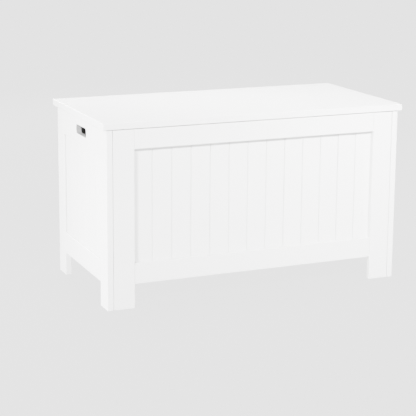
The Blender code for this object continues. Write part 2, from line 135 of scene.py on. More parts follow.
class NodeBook:
    """A small helper that lays out the nodes of one material."""

    # Between these two values lies most of a noise.
    NOISE_LOW = 0.3
    NOISE_HIGH = 0.7

    def __init__(self, name: str) -> None:
        """Start a new material with a plain Principled shader.

        Args:
            name: The material's name.
        """
        self.material = bpy.data.materials.new(name)
        self.material.use_nodes = True
        self.tree = self.material.node_tree
        self.shader = self.tree.nodes["Principled BSDF"]
        self.place = self.tree.nodes.new("ShaderNodeTexCoord").outputs["Object"]

    def add(self, kind: str, **inputs: float | Vector) -> bpy.types.Node:
        """Add a node and set the values of its inputs.

        Args:
            kind: The node's type.
            **inputs: Values by the input's name, with _ for a space.

        Returns:
            The new node.
        """
        node = self.tree.nodes.new(kind)
        for key, value in inputs.items():
            node.inputs[key.replace("_", " ").title()].default_value = value
        return node

    def surface(self, **inputs: float | tuple) -> None:
        """Set values on the shader's own inputs, named with _ for a space."""
        for key, value in inputs.items():
            self.shader.inputs[key.replace("_", " ")].default_value = value

    def link(self, source: Socket, target: Socket) -> None:
        """Join an output to an input."""
        self.tree.links.new(source, target)

    def noise(self, size: float, detail: float, stretch: Vector | None = None) -> Socket:
        """Add a noise whose blotches are about one size across.

        Args:
            size: The size of a blotch, in metres.
            detail: How many finer layers it has.
            stretch: How much the pattern is squeezed along X, Y and Z.

        Returns:
            The noise's output.
        """
        node = self.add("ShaderNodeTexNoise", scale=1 / size, detail=detail)
        source = self.place
        if stretch is not None:
            squeeze = self.add("ShaderNodeMapping", scale=stretch)
            self.link(source, squeeze.inputs["Vector"])
            source = squeeze.outputs["Vector"]
        self.link(source, node.inputs["Vector"])
        return node.outputs["Fac"]

    def mean(self, first: Socket, second: Socket) -> Socket:
        """Add the mean of two patterns.

        Args:
            first: One pattern.
            second: The other.

        Returns:
            The mean.
        """
        total = self.tree.nodes.new("ShaderNodeMath")
        total.operation = "ADD"
        self.link(first, total.inputs[0])
        self.link(second, total.inputs[1])
        half = self.tree.nodes.new("ShaderNodeMath")
        half.operation = "MULTIPLY"
        self.link(total.outputs["Value"], half.inputs[0])
        half.inputs[1].default_value = 0.5
        return half.outputs["Value"]

    def roughen(self, source: Socket, low: float, high: float) -> None:
        """Run the roughness between two values.

        Args:
            source: The noise that it follows.
            low: The roughness where the noise is low.
            high: The roughness where the noise is high.
        """
        node = self.add("ShaderNodeMapRange", to_min=low, to_max=high)
        node.inputs["From Min"].default_value = self.NOISE_LOW
        node.inputs["From Max"].default_value = self.NOISE_HIGH
        self.link(source, node.inputs["Value"])
        self.link(node.outputs["Result"], self.shader.inputs["Roughness"])

    def tint(self, source: Socket, colour: Triple, spread: float) -> None:
        """Run the base colour from a little darker to a little lighter.

        Args:
            source: What the colour follows.
            colour: The middle colour.
            spread: How far it runs either way, as a share of the colour.
        """
        ramp = self.add("ShaderNodeValToRGB")
        ends = ((self.NOISE_LOW, 1 - spread), (self.NOISE_HIGH, 1 + spread))
        for stop, (position, share) in zip(ramp.color_ramp.elements, ends):
            stop.position = position
            stop.color = (*(Vector(colour) * share), 1.0)
        self.link(source, ramp.inputs["Fac"])
        self.link(ramp.outputs["Color"], self.shader.inputs["Base Color"])

    def bumps(self, *layers: tuple[Socket, float]) -> None:
        """Lay height patterns over each other.

        Args:
            *layers: Each pattern with its full height in metres.
        """
        target = self.shader.inputs["Normal"]
        for source, height in reversed(layers):
            bump = self.add("ShaderNodeBump", strength=1.0, distance=height)
            self.link(source, bump.inputs["Height"])
            self.link(bump.outputs["Normal"], target)
            target = bump.inputs["Normal"]


@dataclass(frozen=True)
class Finish:
    """What a piece is finished with: its material's name, its slot and its colour."""

    name: str
    slot: str
    colour: Triple

    def material(self) -> bpy.types.Material:
        """The finish's material, made when it is first asked for."""
        known = bpy.data.materials.get(self.name)
        if known:
            return known
        book = NodeBook(self.name)
        self.dress(book)
        return book.material

    def dress(self, book: NodeBook) -> None:
        """Lay out the nodes, which each kind of finish does in its own way."""
        raise NotImplementedError


@dataclass(frozen=True)
class Paint(Finish):
    """Sprayed satin paint: a soft orange peel, and the board's grain just showing through."""

    cloud: float
    roughness: float
    peel: float
    grain: float
    run: Axis = Axis.X
    streak: float = 2.2 * MM
    stretch: float = 0.035
    cloud_size: float = 160 * MM
    sheen_size: float = 45 * MM
    sheen_spread: float = 0.05
    peel_size: float = 3.2 * MM

    def along(self, run: Axis) -> Paint:
        """The same paint over a board whose grain runs another way."""
        return replace(self, name=f"{self.name}_{run.name.lower()}", run=run)

    def dress(self, book: NodeBook) -> None:
        """Lay out clouds, grain, sheen and peel."""
        squeeze = Vector((1.0, 1.0, 1.0))
        squeeze[self.run.value] = self.stretch
        streaks = book.noise(self.streak, 5.0, squeeze)
        book.tint(book.mean(book.noise(self.cloud_size, 3.0), streaks), self.colour, self.cloud)
        dull, spread = self.roughness, self.sheen_spread
        book.roughen(book.noise(self.sheen_size, 4.0), dull - spread, dull + spread)
        book.bumps((book.noise(self.peel_size, 2.0), self.peel), (streaks, self.grain))
        book.surface(IOR=1.46, Coat_Weight=0.08, Coat_Roughness=0.35)


@dataclass(frozen=True)
class Zinc(Finish):
    """Zinc-plated sheet steel: a cool grey with rolling lines and small crystals."""

    roughness: float
    crystal: float = 1.6 * MM
    tone_spread: float = 0.07
    line: float = 0.5 * MM
    line_stretch: float = 0.06
    line_height: float = 0.004 * MM
    smoother: float = 0.07
    rougher: float = 0.09
    haze: float = 4 * MM
    haze_height: float = 0.02 * MM

    def dress(self, book: NodeBook) -> None:
        """Lay out crystals, rolling lines and haze."""
        crystals = book.add("ShaderNodeTexVoronoi", scale=1 / self.crystal)
        book.link(book.place, crystals.inputs["Vector"])
        tone = book.add("ShaderNodeSeparateColor")
        book.link(crystals.outputs["Color"], tone.inputs["Color"])
        book.tint(tone.outputs["Red"], self.colour, self.tone_spread)
        lines = book.noise(self.line, 3.0, Vector((self.line_stretch, 1.0, 1.0)))
        book.roughen(lines, self.roughness - self.smoother, self.roughness + self.rougher)
        book.bumps((book.noise(self.haze, 3.0), self.haze_height), (lines, self.line_height))
        book.surface(Metallic=1.0, Anisotropic=0.25)


@dataclass(frozen=True)
class Rubber(Finish):
    """Soft moulded rubber with a dull skin."""

    dust: float = 2 * MM
    tone_spread: float = 0.06
    smooth: float = 0.52
    rough: float = 0.66
    skin: float = 0.3 * MM
    skin_height: float = 0.01 * MM

    def dress(self, book: NodeBook) -> None:
        """Lay out dust and skin."""
        dust = book.noise(self.dust, 4.0)
        book.tint(dust, self.colour, self.tone_spread)
        book.roughen(dust, self.smooth, self.rough)
        book.bumps((book.noise(self.skin, 2.0), self.skin_height))


WHITE = Paint("white_satin_paint", "white_paint", (0.86, 0.86, 0.856), 0.012, 0.40, 0.014 * MM, 0.03 * MM)
INSIDE = Paint("white_inner_paint", "inner_paint", (0.76, 0.75, 0.73), 0.02, 0.55, 0.02 * MM, 0.05 * MM)
PLATED = Zinc("zinc_plate", "zinc_steel", (0.54, 0.55, 0.57), 0.32)
SOFT = Rubber("bumper_skin", "bumper_rubber", (0.34, 0.34, 0.35))
# Painted shade: a dark grey paint for a skin over the hand hole's wall, darker than the white paint,
# standing in for the shade inside the hole.
HOLE_SHADE_PAINT = Paint("grey_hole_sealer", "inner_paint", (0.27, 0.27, 0.27), 0.03, 0.62, 0.02 * MM, 0.06 * MM)


# -------------------- mesh work


def close_mesh(name: str, shape: bmesh.types.BMesh) -> Mesh:
    """Turn a shape into a mesh with its faces pointing out.

    Args:
        name: The mesh's name.
        shape: The shape, which is freed.

    Returns:
        The new mesh.
    """
    bmesh.ops.recalc_face_normals(shape, faces=shape.faces)
    mesh = bpy.data.meshes.new(name)
    shape.to_mesh(mesh)
    shape.free()
    return mesh


# How hard a corner pulls its round: this brings it close to a true arc at a right angle.
ARC_WEIGHT = 0.8


def soften(corners: Outline, radii: list[float] | float, steps: int) -> Outline:
    """Round the corners of a closed outline.

    Args:
        corners: The outline's corners in order.
        radii: How far each corner's round reaches along its edges, or one value for all.
        steps: How many short edges make one round.

    Returns:
        The rounded outline.
    """
    reach = radii if isinstance(radii, list) else [radii] * len(corners)
    points: Outline = []
    for i, corner in enumerate(corners):
        here = Vector(corner)
        before = Vector(corners[i - 1])
        after = Vector(corners[(i + 1) % len(corners)])
        if reach[i] <= 0:
            points.append(corner)
            continue
        start = here + (before - here).normalized() * reach[i]
        end = here + (after - here).normalized() * reach[i]
        for step in range(steps + 1):
            t = step / steps
            pull = ARC_WEIGHT * 2 * t * (1 - t)
            mixed = start * (1 - t) ** 2 + here * pull + end * t ** 2
            mixed /= (1 - t) ** 2 + pull + t ** 2
            points.append((mixed.x, mixed.y))
    return points


def placed(point: Point, along: float, axis: Axis) -> Vector:
    """A point of an outline (its other two coordinates in order), put at a distance along an axis."""
    return Vector((*point[:axis.value], along, *point[axis.value:]))


def framed(origin: Vector | Triple, x: Vector, y: Vector, z: Vector) -> Matrix:
    """A place with its own three axes."""
    return Matrix.Translation(origin) @ Matrix((x, y, z)).transposed().to_4x4()


def facing(origin: Vector, direction: Vector) -> Matrix:
    """A place whose Z axis points in a direction."""
    return Matrix.Translation(origin) @ UP.rotation_difference(direction).to_matrix().to_4x4()


def rod(radius: float, start: float, end: float) -> Outline:
    """The profile of a plain rod, to be turned."""
    return [(0.0, start), (radius, start), (radius, end), (0.0, end)]


def dome(radius: float, height: float, steps: int) -> Outline:
    """The profile of a dome between its rim and its top, both left out."""
    angles = [QUARTER * step / steps for step in range(1, steps)]
    return [(radius * math.cos(angle), height * math.sin(angle)) for angle in angles]


def prism(outline: Outline, axis: Axis, start: float, end: float) -> Mesh:
    """Draw an outline out along an axis.

    Args:
        outline: The outline's points in order.
        axis: The direction.
        start: Where it begins.
        end: Where it ends.

    Returns:
        The closed mesh.
    """
    shape = bmesh.new()
    first = [shape.verts.new(placed(point, start, axis)) for point in outline]
    last = [shape.verts.new(placed(point, end, axis)) for point in outline]
    shape.faces.new(first)
    shape.faces.new(last)
    for i in range(len(outline)):
        j = (i + 1) % len(outline)
        shape.faces.new((first[i], first[j], last[j], last[i]))
    return close_mesh("prism", shape)


def stacked(loops: list[list[Vector]]) -> Mesh:
    """Join loops of equal length into a closed skin, capped at both ends.

    Args:
        loops: The loops in order.

    Returns:
        The closed mesh.
    """
    shape = bmesh.new()
    rings = [[shape.verts.new(point) for point in loop] for loop in loops]
    shape.faces.new(rings[0])
    shape.faces.new(rings[-1])
    for lower, upper in zip(rings, rings[1:]):
        for i in range(len(lower)):
            j = (i + 1) % len(lower)
            shape.faces.new((lower[i], lower[j], upper[j], upper[i]))
    return close_mesh("stack", shape)


def turned(profile: Outline, origin: Vector, direction: Vector, sides: int = ROUND_SIDES) -> Mesh:
    """Turn a profile about a line, with flat sides.

    Args:
        profile: (radius, distance) points, from the line back to the line.
        origin: The point on the line that distances count from.
        direction: The line's direction.
        sides: The number of sides.

    Returns:
        The closed mesh.
    """
    place = facing(origin, direction)
    shape = bmesh.new()
    rings = []
    for radius, distance in profile:
        if radius <= 0:
            rings.append([shape.verts.new(place @ Vector((0, 0, distance)))])
            continue
        ring = []
        for i in range(sides):
            angle = 2 * math.pi * i / sides
            spot = Vector((radius * math.cos(angle), radius * math.sin(angle), distance))
            ring.append(shape.verts.new(place @ spot))
        rings.append(ring)
    for lower, upper in zip(rings, rings[1:]):
        for i in range(sides):
            j = (i + 1) % sides
            corners = [lower[i % len(lower)], lower[j % len(lower)]]
            corners += [upper[j % len(upper)], upper[i % len(upper)]]
            shape.faces.new(list(dict.fromkeys(corners)))
    return close_mesh("turned", shape)


def ease_edges(shape: bmesh.types.BMesh, edges: list[bmesh.types.BMEdge], size: float, steps: int) -> None:
    """Round the edges of a shape to a size, with so many facets."""
    bmesh.ops.bevel(shape, geom=edges, offset=size, segments=steps, profile=0.5, affect="EDGES")


def level(edge: bmesh.types.BMEdge, way: int) -> bool:
    """Whether an edge's two ends are at the same place along an axis."""
    return abs(edge.verts[0].co[way] - edge.verts[1].co[way]) < TOUCH


def board(low: Vector, high: Vector, ease: float, end_ease: float, grain: Axis) -> Mesh:
    """A board with eased long edges and its own easing at the two ends.

    Args:
        low: The lowest corner.
        high: The highest corner.
        ease: The rounding along the board.
        end_ease: The rounding round its two ends.
        grain: The direction that the board runs in.

    Returns:
        The closed mesh.
    """
    shape = bmesh.new()
    place = Matrix.Translation((low + high) / 2) @ Matrix.Diagonal((*(high - low), 1.0))
    bmesh.ops.create_cube(shape, size=1.0, matrix=place)
    way = grain.value
    long_edges = [edge for edge in shape.edges if not level(edge, way)]
    ease_edges(shape, long_edges, ease, LONG_STEPS)
    ends = (low[way], high[way])
    rims = []
    for edge in shape.edges:
        near = min(abs(edge.verts[0].co[way] - end) for end in ends)
        if near < TOUCH and level(edge, way):
            rims.append(edge)
    ease_edges(shape, rims, end_ease, END_STEPS)
    return close_mesh("board", shape)


def plate(outline: Outline, axis: Axis, faces: Point, ease: float, holes: Cutters) -> Mesh:
    """A flat plate with eased rims.

    Args:
        outline: Its outline.
        axis: The way through it.
        faces: Where its two faces lie.
        ease: The rounding of its rims.
        holes: The cutters of its holes.

    Returns:
        The pierced plate.
    """
    shape = bmesh.new()
    shape.from_mesh(prism(outline, axis, *faces))
    rims = [edge for edge in shape.edges if level(edge, axis.value)]
    ease_edges(shape, rims, ease, RIM_STEPS)
    return carved(close_mesh("plate", shape), holes)


def crossed_slots(place: Matrix, levels: list[Triple]) -> Cutters:
    """Two tapered slots that cross at a right angle.

    Args:
        place: Takes the slots, which go down Z, to their place.
        levels: Half the length, half the width and the depth of each level.

    Returns:
        One cutter for each slot.
    """
    cutters = []
    for quarter in (False, True):
        loops = []
        for a, b, depth in levels:
            corners = [(a, b), (-a, b), (-a, -b), (a, -b)]
            if quarter:
                corners = [(-y, x) for x, y in corners]
            loops.append([place @ Vector((x, y, depth)) for x, y in corners])
        cutters.append(stacked(loops))
    return cutters


def carved(mesh: Mesh, cutters: Cutters) -> Mesh:
    """Cut shapes out of a mesh.

    Args:
        mesh: The mesh to cut.
        cutters: The shapes that are taken away.

    Returns:
        The cut mesh.
    """
    scene = bpy.context.scene.collection.objects
    work = bpy.data.objects.new("work", mesh)
    scene.link(work)
    tools = []
    for cutter in cutters:
        tool = bpy.data.objects.new("tool", cutter)
        scene.link(tool)
        tools.append(tool)
        step = work.modifiers.new("cut", "BOOLEAN")
        step.operation = "DIFFERENCE"
        step.solver = "EXACT"
        step.object = tool
    bpy.context.view_layer.update()
    seen = work.evaluated_get(bpy.context.evaluated_depsgraph_get())
    result = bpy.data.meshes.new_from_object(seen)
    for item in (work, *tools):
        bpy.data.objects.remove(item, do_unlink=True)
    return result


def add_piece(
    name: str,
    mesh: Mesh,
    finish: Finish,
    body: Body,
    node: str | None = None,
    crease: float = BOARD_CREASE,
) -> None:
    """Put a mesh in the scene as a piece that rides on a body.

    Args:
        name: The piece's name.
        mesh: Its mesh, drawn in place.
        finish: Its finish.
        body: The body that it rides on.
        node: The frame node that it stands for, if it stands for one.
        crease: The angle in degrees above which an edge stays sharp.
    """
    mesh.name = name
    mesh.shade_smooth()
    mesh.set_sharp_from_angle(angle=math.radians(crease))
    mesh.materials.clear()
    mesh.materials.append(finish.material())
    item = bpy.data.objects.new(name, mesh)
    bpy.context.scene.collection.objects.link(item)
    weigh = item.modifiers.new("flat_faces", "WEIGHTED_NORMAL")
    weigh.mode = "FACE_AREA"
    weigh.keep_sharp = True
    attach(item, body.value)
    if node:
        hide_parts(node)


def grown(node: str, room: float) -> Mesh:
    """A plain block, a little larger than a node, that cuts the seat for it.

    Args:
        node: The node that will sit in the seat.
        room: The clearance all round.

    Returns:
        The block.
    """
    low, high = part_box(node)
    outline = [
        (low.x - room, low.y - room),
        (high.x + room, low.y - room),
        (high.x + room, high.y + room),
        (low.x - room, high.y + room),
    ]
    return prism(outline, Axis.Z, low.z - room, high.z + room)


# -------------------- fasteners


@dataclass(frozen=True)
class Screw:
    """A countersunk wood screw with a cross recess and a turned thread."""

    head_radius: float = 2.9 * MM
    head_length: float = 1.5 * MM
    radius: float = 1.25 * MM
    length: float = 12 * MM
    point: float = 2.5 * MM
    pitch: float = 1.1 * MM
    thread: float = 0.22 * MM
    recess: float = 1.15 * MM
    recess_span: float = 3.2 * MM
    recess_width: float = 0.62 * MM
    recess_above: float = 0.2 * MM
    recess_top: float = 1.05
    recess_bottom: float = 0.45
    recess_flank: float = 0.4
    rim: float = 0.12 * MM
    flare: float = 0.1 * MM
    # Where the plain shank and the thread begin, in head lengths.
    shank_start: float = 1.3
    thread_start: float = 1.6
    # Where the point closes in: a share of the radius, and of the point's length before its end.
    tip_radius: float = 0.8
    tip_length: float = 0.7

    def profile(self) -> Outline:
        """The screw's outline from the middle of its head to its point.

        Returns:
            (radius, distance) points.
        """
        points = [(0.0, 0.0), (self.head_radius - self.rim, 0.0), (self.head_radius, self.rim)]
        points.append((self.radius + self.flare, self.head_length))
        points.append((self.radius, self.shank_start * self.head_length))
        place = self.thread_start * self.head_length
        while place < self.length - self.point:
            points.append((self.radius - self.thread, place))
            points.append((self.radius + self.thread, place + self.pitch / 2))
            place += self.pitch
        points.append((self.radius * self.tip_radius, self.length - self.point * self.tip_length))
        points.append((0.0, self.length))
        return points

    def cross(self) -> list[Triple]:
        """The levels of the recess: above the head and at its bottom."""
        levels = []
        ends = ((self.recess_top, -self.recess_above), (self.recess_bottom, self.recess))
        for share, depth in ends:
            wide = self.recess_width / 2 * (1 - self.recess_flank * (1 - share))
            levels.append((self.recess_span / 2 * share, wide, depth))
        return levels

    def mesh(self, head: Vector, direction: Vector) -> Mesh:
        """The screw, driven from the middle of its head's face in a direction."""
        blank = turned(self.profile(), head, direction, SCREW_SIDES)
        return carved(blank, crossed_slots(facing(head, direction), self.cross()))

    def pocket(self, head: Vector, direction: Vector) -> Mesh:
        """The shape of the hole that the screw sits in.

        Args:
            head: The middle of the head's face.
            direction: The way that the screw is driven.

        Returns:
            The closed cutter.
        """
        rim = self.head_radius + 2 * GAP
        wide = self.radius + self.thread + GAP
        profile = [(0.0, -2 * GAP), (rim + GAP, -2 * GAP), (wide, self.head_length)]
        profile += [(wide, self.length), (0.0, self.length + GAP)]
        return turned(profile, head, direction, SCREW_SIDES)


@dataclass(frozen=True)
class DrivenScrew:
    """A screw in its place."""

    name: str
    head: Vector
    direction: Vector
    body: Body
    node: str | None = None
    screw: Screw = field(default_factory=Screw)

    @classmethod
    def at_node(cls, node: str, direction: Vector, body: Body) -> DrivenScrew:
        """Read a screw's place from its node.

        Args:
            node: The node.
            direction: The way that the screw is driven.
            body: The body that it rides on.

        Returns:
            The screw in its place.
        """
        low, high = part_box(node)
        reach = (high - low) / 2
        offset = Vector([reach[i] * direction[i] for i in range(3)])
        return cls(node, (low + high) / 2 - offset, direction, body, node)

    @classmethod
    def pairs(cls, *rows: tuple[str, Vector, Body]) -> list[DrivenScrew]:
        """Two screws in each row: first number 1 of every row, then number 2.

        Args:
            *rows: Each row's name without its number, direction and body.

        Returns:
            The screws.
        """
        return [cls.at_node(f"{row[0]}_{number}", *row[1:]) for number in (1, 2) for row in rows]

    def pocket(self) -> Mesh:
        """The cutter for the hole that this screw sits in."""
        return self.screw.pocket(self.head, self.direction)

    def pocket_in(self, place: Matrix) -> Mesh:
        """The same cutter in the flat blank that a place will put over the screw."""
        back = place.inverted()
        return self.screw.pocket(back @ self.head, back.to_3x3() @ self.direction)

    def add(self) -> None:
        """Put the screw in the scene."""
        mesh = self.screw.mesh(self.head, self.direction)
        add_piece(self.name, mesh, PLATED, self.body, self.node, SHARP_CREASE)


# -------------------- boards


@dataclass(frozen=True)
class VGroove:
    """The V between two boards of a panel, with softened lips and root."""

    width: float = 3.2 * MM
    depth: float = 3.0 * MM
    lip: float = 0.3 * MM

    def dip(self, middle: float, face: float, inward: float) -> Outline:
        """The groove's outline, from one lip to the other.

        Args:
            middle: Where the groove lies along the panel.
            face: Where the panel's face lies.
            inward: 1 or -1, the way into the panel.

        Returns:
            (along, depth) points.
        """
        half = self.width / 2
        outer = half + 2 * self.lip
        corners = [(-outer, 0.0), (-half, 0.0), (0.0, self.depth), (half, 0.0), (outer, 0.0)]
        reach = [0.0, self.lip, self.lip, self.lip, 0.0]
        return [(middle + a, face + inward * b) for a, b in soften(corners, reach, 3)]


@dataclass(frozen=True)
class BoardedPanel:
    """A panel grooved into boards."""

    node: str
    along: Axis
    face_high: bool
    groove_at: float
    pitch: float
    hidden: float
    finish: Paint = WHITE
    groove: VGroove = field(default_factory=VGroove)

    def mesh(self) -> Mesh:
        """Make the panel from its node's box.

        Returns:
            The closed mesh.
        """
        low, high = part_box(self.node)
        across = Axis.Y if self.along is Axis.X else Axis.X
        start, end = low[self.along.value], high[self.along.value]
        back, face = low[across.value], high[across.value]
        if not self.face_high:
            back, face = face, back
        inward = math.copysign(1.0, back - face)
        reach = self.hidden + self.groove.width
        first = math.ceil((start + reach - self.groove_at) / self.pitch)
        last = math.floor((end - reach - self.groove_at) / self.pitch)
        line: Outline = [(start, back), (start, face)]
        for i in range(first, last + 1):
            line += self.groove.dip(self.groove_at + i * self.pitch, face, inward)
        line += [(end, face), (end, back)]
        if self.along is Axis.Y:
            line = [(depth, place) for place, depth in line]
        return prism(line, Axis.Z, low.z, high.z)

    def add(self) -> None:
        """Put the panel in the scene."""
        finish = self.finish.along(Axis.Z)
        add_piece(self.node, self.mesh(), finish, Body.CARCASS, self.node, GROOVE_CREASE)


@dataclass(frozen=True)
class PlainBoard:
    """A board with eased edges that stands for one node.

    A positive cut back takes that much off its right edge, a negative one off its left edge.
    """

    node: str
    grain: Axis
    ease: float
    end_ease: float
    finish: Paint = WHITE
    body: Body = Body.CARCASS
    cut_back: float = 0.0

    def mesh(self) -> Mesh:
        """Make the board from its node's box.

        Returns:
            The closed mesh.
        """
        low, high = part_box(self.node)
        if self.cut_back > 0:
            high.x -= self.cut_back
        else:
            low.x -= self.cut_back
        return board(low, high, self.ease, self.end_ease, self.grain)

    def add(self, cutters: Cutters | None = None) -> None:
        """Put the board in the scene, with shapes cut out of it first."""
        mesh = carved(self.mesh(), cutters) if cutters else self.mesh()
        add_piece(self.node, mesh, self.finish.along(self.grain), self.body, self.node)


@dataclass(frozen=True)
class HandHole:
    """The hand hole in a side's top rail, with its rims rounded over."""

    length: float = 82 * MM
    height: float = 24 * MM
    corner: float = 9 * MM
    below_top: float = 21 * MM
    rim: float = 1.6 * MM
    # The skin of painted shade in the hole: how far in from the wall it reaches, and its play from the
    # wall.
    wall: float = 0.8 * MM
    play: float = 0.05 * MM
    steps: int = 5

    def loop(self, middle: Point, spread: float, x: float) -> list[Vector]:
        """One loop of the hole's wall.

        Args:
            middle: The hole's middle, as Y and Z.
            spread: How much wider than the hole it is.
            x: Where it lies.

        Returns:
            The loop's points.
        """
        a, b = self.length / 2 + spread, self.height / 2 + spread
        corners = [(a, b), (-a, b), (-a, -b), (a, -b)]
        outline = soften(corners, self.corner + spread, 8)
        return [Vector((x, middle[0] + y, middle[1] + z)) for y, z in outline]

    def middle(self, rail: str) -> Point:
        """The hole's middle on a rail, as Y and Z."""
        low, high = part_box(rail)
        return (low.y + high.y) / 2, high.z - self.below_top - self.height / 2

    def cutter(self, rail: str) -> Mesh:
        """The tool that cuts the hole and rounds both of its rims.

        Args:
            rail: The rail's node.

        Returns:
            The closed mesh.
        """
        low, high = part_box(rail)
        middle = self.middle(rail)
        turns = [QUARTER * i / self.steps for i in range(self.steps + 1)]
        loops = [self.loop(middle, self.rim + GAP, low.x - GAP)]
        for angles, face, way in ((turns, low.x, 1), (turns[::-1], high.x, -1)):
            for angle in angles:
                spread = self.rim * (1 - math.sin(angle))
                loops.append(self.loop(middle, spread, face + way * self.rim * (1 - math.cos(angle))))
        loops.append(self.loop(middle, self.rim + GAP, high.x + GAP))
        return stacked(loops)

    def add_wall(self, rail: str) -> None:
        """Add a thin dark grey skin between the hole's two rims, painted shade over the hole's wall.

        Args:
            rail: The rail's node.
        """
        low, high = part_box(rail)
        middle = self.middle(rail)
        ends = (low.x + self.rim, high.x - self.rim)
        outside = stacked([self.loop(middle, -self.play, x) for x in ends])
        inside = stacked([self.loop(middle, -self.wall, x) for x in (low.x, high.x)])
        name = f"{rail}_hole_wall"
        add_piece(name, carved(outside, [inside]), HOLE_SHADE_PAINT, Body.CARCASS, crease=SHARP_CREASE)


@dataclass
class SideFrame:
    """One side: two stiles that run down as legs, two rails and the boarded panel."""

    side: Side
    pitch: float = 46.6 * MM
    tongue: float = 6 * MM
    slot_room: float = 1.0 * MM
    ease: float = 1.3 * MM
    butt_ease: float = 0.5 * MM
    hole: HandHole = field(default_factory=HandHole)

    def build(self, pockets: Cutters) -> None:
        """Build the frame and its panel.

        Args:
            pockets: Screw holes in the rear stile.
        """
        word = self.side.word
        panel = f"{word}_side_panel"
        low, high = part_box(panel)
        for stile, holes in (("front_stile", []), ("rear_stile", pockets)):
            piece = PlainBoard(f"{word}_{stile}", Axis.Z, self.ease, self.ease)
            piece.add([grown(panel, self.slot_room), *holes])
        top = PlainBoard(f"{word}_top_rail", Axis.Y, self.ease, self.butt_ease)
        top.add([grown(panel, self.slot_room), self.hole.cutter(top.node)])
        # The hole's wall gets a dark grey skin of painted shade.
        self.hole.add_wall(top.node)
        bottom = PlainBoard(f"{word}_bottom_rail", Axis.Y, self.ease, self.butt_ease)
        bottom.add([grown(panel, self.slot_room)])
        middle = (low.y + high.y) / 2
        face_high = self.side is Side.RIGHT
        BoardedPanel(panel, Axis.Y, face_high, middle, self.pitch, self.tongue).add()


@dataclass
class FrontFrame:
    """The front: two stiles, two rails and the boarded panel behind them."""

    pitch: float = 50.6 * MM
    shift: float = 2.8 * MM
    lap: float = 4 * MM
    joint: float = 0.9 * MM
    ease: float = 1.0 * MM
    butt_ease: float = 0.5 * MM

    def build(self) -> None:
        """Build the frame and its panel."""
        for side in Side:
            joint = side.value * self.joint
            stile = f"front_{side.word}_stile"
            PlainBoard(stile, Axis.Z, self.ease, self.ease, cut_back=joint).add()
        for rail in ("front_top_rail", "front_bottom_rail"):
            PlainBoard(rail, Axis.X, self.ease, self.butt_ease).add()
        groove_at = self.shift + self.pitch / 2
        BoardedPanel("front_panel", Axis.X, False, groove_at, self.pitch, self.lap).add()


@dataclass
class CamLock:
    """A round cam lock with a cross slot, set flush in the back board."""

    node: str
    rim: float = 0.4 * MM
    slot_span: float = 8.5 * MM
    slot_width: float = 1.5 * MM
    slot_depth: float = 2.2 * MM
    mark: float = 1.6 * MM
    mark_half: float = 0.6
    mark_inset: float = 3.0
    taper: float = 0.62
    # The dish in its face: how deep, and where its wall begins and ends, all in rims.
    dish: float = 0.6
    dish_floor: float = 2.4
    dish_lip: float = 1.8
    round_over: float = 0.5

    def size(self) -> tuple[Vector, float, float]:
        """The middle of its outer face, its radius and its length."""
        low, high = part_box(self.node)
        middle = Vector(((low.x + high.x) / 2, low.y, (low.z + high.z) / 2))
        return middle, (high.z - low.z) / 2, high.y - low.y

    def bore(self) -> Mesh:
        """The cutter for the bore that it sits in."""
        middle, radius, length = self.size()
        return turned(rod(radius + GAP, -length - GAP, length + GAP), middle, BACK, CAM_SIDES)

    def mesh(self) -> Mesh:
        """Make the cam lock from its node's box.

        Returns:
            The closed mesh.
        """
        middle, radius, length = self.size()
        rim = self.rim
        profile = [(0.0, rim * self.dish), (radius - self.dish_floor * rim, rim * self.dish)]
        profile += [(radius - self.dish_lip * rim, 0.0), (radius - rim * self.round_over, 0.0)]
        profile += [(radius, rim * self.round_over), (radius, length), (0.0, length)]
        levels = []
        for share, depth in ((1.0, -rim), (self.taper, self.slot_depth)):
            levels.append((self.slot_span / 2 * share, self.slot_width / 2 * share, depth))
        cuts = crossed_slots(framed(middle, RIGHT, UP, BACK), levels)
        tip = radius - self.mark_inset * rim
        wing, foot = self.mark * self.mark_half, tip - self.mark
        arrow = [(middle.x + x, middle.z + z) for x, z in ((0.0, tip), (-wing, foot), (wing, foot))]
        cuts.append(prism(arrow, Axis.Y, middle.y - rim, middle.y + rim))
        return carved(turned(profile, middle, BACK, CAM_SIDES), cuts)

    def add(self) -> None:
        """Put the cam lock in the scene."""
        add_piece(self.node, self.mesh(), PLATED, Body.CARCASS, self.node, SHARP_CREASE)


@dataclass
class Inside:
    """The base on its cleats, the corner battens and the back board."""

    ease: float = 0.8 * MM
    batten_ease: float = 1.5 * MM
    screw_inset: float = 55 * MM
    cleat_screws: int = 4
    batten_screws: int = 3

    def build(self, pockets: Cutters) -> None:
        """Build everything behind the frames.

        Args:
            pockets: Screw holes in the back board.
        """
        cams = [CamLock(f"{side.word}_{level}_cam_lock") for side in Side for level in ("lower", "upper")]
        bores = [cam.bore() for cam in cams]
        PlainBoard("back_board", Axis.X, self.ease, self.ease).add([*pockets, *bores])
        for cam in cams:
            cam.add()
        PlainBoard("base_panel", Axis.X, self.ease, self.ease, INSIDE).add()
        self.add_batten("front_cleat", Axis.X, -BACK)
        self.add_batten("back_cleat", Axis.X, BACK)
        for side in Side:
            way = RIGHT * side.value
            self.add_batten(f"{side.word}_cleat", Axis.Y, way)
            self.add_batten(f"{side.word}_corner_batten", Axis.Z, way)

    def add_batten(self, node: str, grain: Axis, way: Vector) -> None:
        """Add one batten with the row of screws that hold it.

        Args:
            node: The batten's node.
            grain: The way that it runs.
            way: The way that its screws are driven.
        """
        low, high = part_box(node)
        count = self.batten_screws if grain is Axis.Z else self.cleat_screws
        run = high[grain.value] - low[grain.value] - 2 * self.screw_inset
        screws = []
        for i in range(count):
            head = (low + high) / 2
            head[grain.value] = low[grain.value] + self.screw_inset + run * i / (count - 1)
            for axis in range(3):
                if way[axis]:
                    head[axis] = low[axis] if way[axis] > 0 else high[axis]
            screws.append(DrivenScrew(f"{node}_screw_{i + 1}", head, way, Body.CARCASS))
        piece = PlainBoard(node, grain, self.batten_ease, self.ease, INSIDE)
        piece.add([screw.pocket() for screw in screws])
        for screw in screws:
            screw.add()


